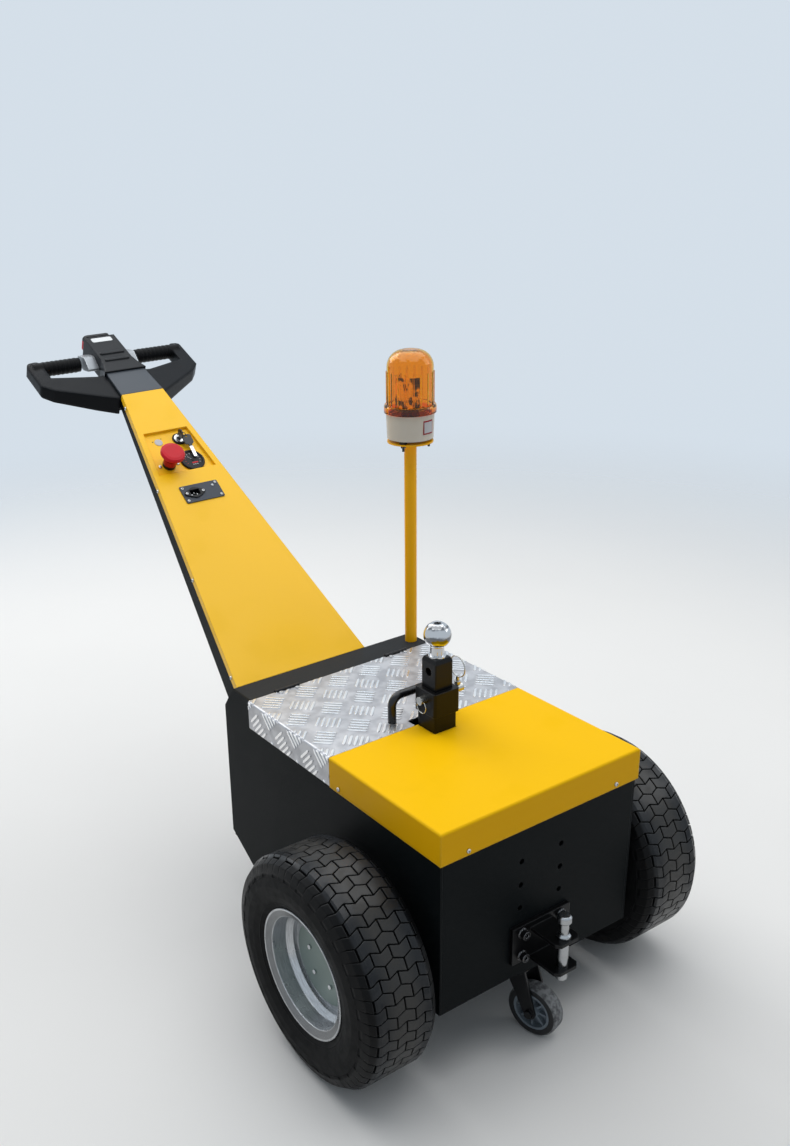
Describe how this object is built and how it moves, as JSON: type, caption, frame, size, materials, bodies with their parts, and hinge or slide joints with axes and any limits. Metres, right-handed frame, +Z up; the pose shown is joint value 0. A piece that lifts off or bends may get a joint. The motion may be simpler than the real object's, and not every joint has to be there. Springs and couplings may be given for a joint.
{
  "type": "walk behind electric tug",
  "caption": "Walk behind electric tug: yellow and black body on two turf tyres, sloping steering arm with a looped handle, ball hitch, pin hitch and beacon.",
  "frame": {"origin": "on the floor, under the centre of the whole machine's bounding box", "axes": "+X to the machine's right seen from the handle, +Y from the hitch end towards the handle, +Z up"},
  "size_m": [0.786, 1.6051, 1.128],
  "materials": {
    "black_coat": "fine textured powder coat, satin",
    "yellow_paint": "smooth golden yellow paint, gloss",
    "pole_yellow": "smooth yellow paint, satin",
    "tread_aluminium": "bright five-bar tread plate, lightly scuffed",
    "zinc_steel": "zinc plated",
    "chrome": "polished",
    "black_steel": "black oxide",
    "rim_silver": "silver paint, satin",
    "tyre_rubber": "matt black rubber with a turf tread",
    "caster_rubber": "matt",
    "caster_core": "grey moulded",
    "control_plastic": "black moulded",
    "plate_plastic": "black, fine grain",
    "handle_plastic": "black, rubberised grain",
    "red_plastic": "red moulded",
    "silver_plastic": "silver grey moulded",
    "foot_rubber": "matt",
    "cream_plastic": "cream moulded",
    "amber_lens": "clear amber, ribbed",
    "lamp_glass": "frosted",
    "mirror_metal": "polished",
    "battery_case": "dark grey moulded",
    "alloy_grey": "cast grey"
  },
  "bodies": {
    "chassis": {"side_panel_left": "black_coat", "side_panel_right": "black_coat", "front_panel": "black_coat", "floor_pan": "black_coat", "rear_shell": "black_coat", "hood": "yellow_paint", "body_screws": "zinc_steel", "hinge_leaves": "zinc_steel", "receiver": "black_coat", "ball_post": "black_coat", "tow_ball": "chrome", "cross_pin": "zinc_steel", "tow_bracket": "black_coat", "bracket_bolts": "black_steel", "front_caster_plate": "black_coat", "rear_caster_plate": "black_coat", "arm_channel": "black_coat", "arm_cover": "yellow_paint", "arm_screws": "zinc_steel", "estop_base": "control_plastic", "key_switch": "zinc_steel", "gauge": "control_plastic", "charge_plate": "plate_plastic", "charge_inlet": "control_plastic", "neck_cover": "plate_plastic", "handle_frame": "handle_plastic", "head_housing": "handle_plastic", "beacon_pole": "pole_yellow", "beacon_plate": "pole_yellow", "beacon_feet": "foot_rubber", "beacon_nuts": "zinc_steel", "beacon_base": "cream_plastic", "beacon_lens": "amber_lens", "beacon_bulb": "lamp_glass", "batteries": "battery_case", "controller": "alloy_grey", "drive_motors": "alloy_grey"},
    "lid": {"tread_lid": "tread_aluminium", "lid_handle": "black_coat", "lid_leaves": "zinc_steel"},
    "wheel_left": {"tyre_left": "tyre_rubber", "rim_left": "rim_silver", "hub_left": "zinc_steel"},
    "wheel_right": {"tyre_right": "tyre_rubber", "rim_right": "rim_silver", "hub_right": "zinc_steel"},
    "front_swivel": {"front_caster_fork": "black_coat"},
    "front_roller": {"front_caster_wheel": "caster_core", "front_caster_tyre": "caster_rubber"},
    "rear_swivel": {"rear_caster_fork": "black_coat"},
    "rear_roller": {"rear_caster_wheel": "caster_core", "rear_caster_tyre": "caster_rubber"},
    "stop_button": {"estop_knob": "red_plastic"},
    "key_body": {"key": "control_plastic"},
    "throttle": {"throttle_left": "silver_plastic", "throttle_right": "silver_plastic"},
    "belly": {"belly_button": "red_plastic"},
    "hitch_pin": {"drop_pin": "chrome"},
    "linch": {"linch_pin": "zinc_steel"},
    "mirror": {"beacon_reflector": "mirror_metal"}
  },
  "joints": [
    {"name": "wheel_left_spin", "type": "hinge", "parent": "chassis", "child": "wheel_left", "pos_m": [-0.318, -0.55627, 0.2075], "axis": [1, 0, 0], "continuous": true},
    {"name": "wheel_right_spin", "type": "hinge", "parent": "chassis", "child": "wheel_right", "pos_m": [0.318, -0.55627, 0.2075], "axis": [1, 0, 0], "continuous": true},
    {"name": "front_caster_swivel", "type": "hinge", "parent": "chassis", "child": "front_swivel", "pos_m": [0, -0.68787, 0.12], "axis": [0, 0, 1], "continuous": true},
    {"name": "front_caster_roll", "type": "hinge", "parent": "front_swivel", "child": "front_roller", "pos_m": [0.00847, -0.72183, 0.05], "axis": [0.9703, 0.2419, 0], "continuous": true},
    {"name": "rear_caster_swivel", "type": "hinge", "parent": "chassis", "child": "rear_swivel", "pos_m": [0, -0.17087, 0.12], "axis": [0, 0, 1], "continuous": true},
    {"name": "rear_caster_roll", "type": "hinge", "parent": "rear_swivel", "child": "rear_roller", "pos_m": [0, -0.20587, 0.05], "axis": [1, 0, 0], "continuous": true},
    {"name": "lid_hinge", "type": "hinge", "parent": "chassis", "child": "lid", "pos_m": [0, -0.14997, 0.515], "axis": [-1, 0, 0], "range_deg": [0, 90]},
    {"name": "throttle_turn", "type": "hinge", "parent": "chassis", "child": "throttle", "pos_m": [-0.055, 0.72598, 1.02859], "axis": [1, 0, 0], "range_deg": [-25, 25], "stiffness_Nm_per_rad": 0.6},
    {"name": "belly_press", "type": "slide", "parent": "chassis", "child": "belly", "axis": [0, -0.9128, -0.4083], "range_m": [0, 0.008], "stiffness_N_per_m": 1500},
    {"name": "estop_press", "type": "slide", "parent": "chassis", "child": "stop_button", "axis": [0, 0.5892, -0.808], "range_m": [0, 0.005]},
    {"name": "key_turn", "type": "hinge", "parent": "chassis", "child": "key_body", "pos_m": [-0.031, 0.43556, 0.88543], "axis": [0, -0.5892, 0.808], "range_deg": [-50, 0]},
    {"name": "drop_pin_lift", "type": "slide", "parent": "chassis", "child": "hitch_pin", "axis": [0, 0, 1], "range_m": [0, 0.12]},
    {"name": "linch_pin_lift", "type": "slide", "parent": "chassis", "child": "linch", "axis": [0, 0, 1], "range_m": [0, 0.03]},
    {"name": "mirror_spin", "type": "hinge", "parent": "chassis", "child": "mirror", "pos_m": [0.201, -0.11767, 1.03], "axis": [0, 0, 1], "continuous": true}
  ]
}
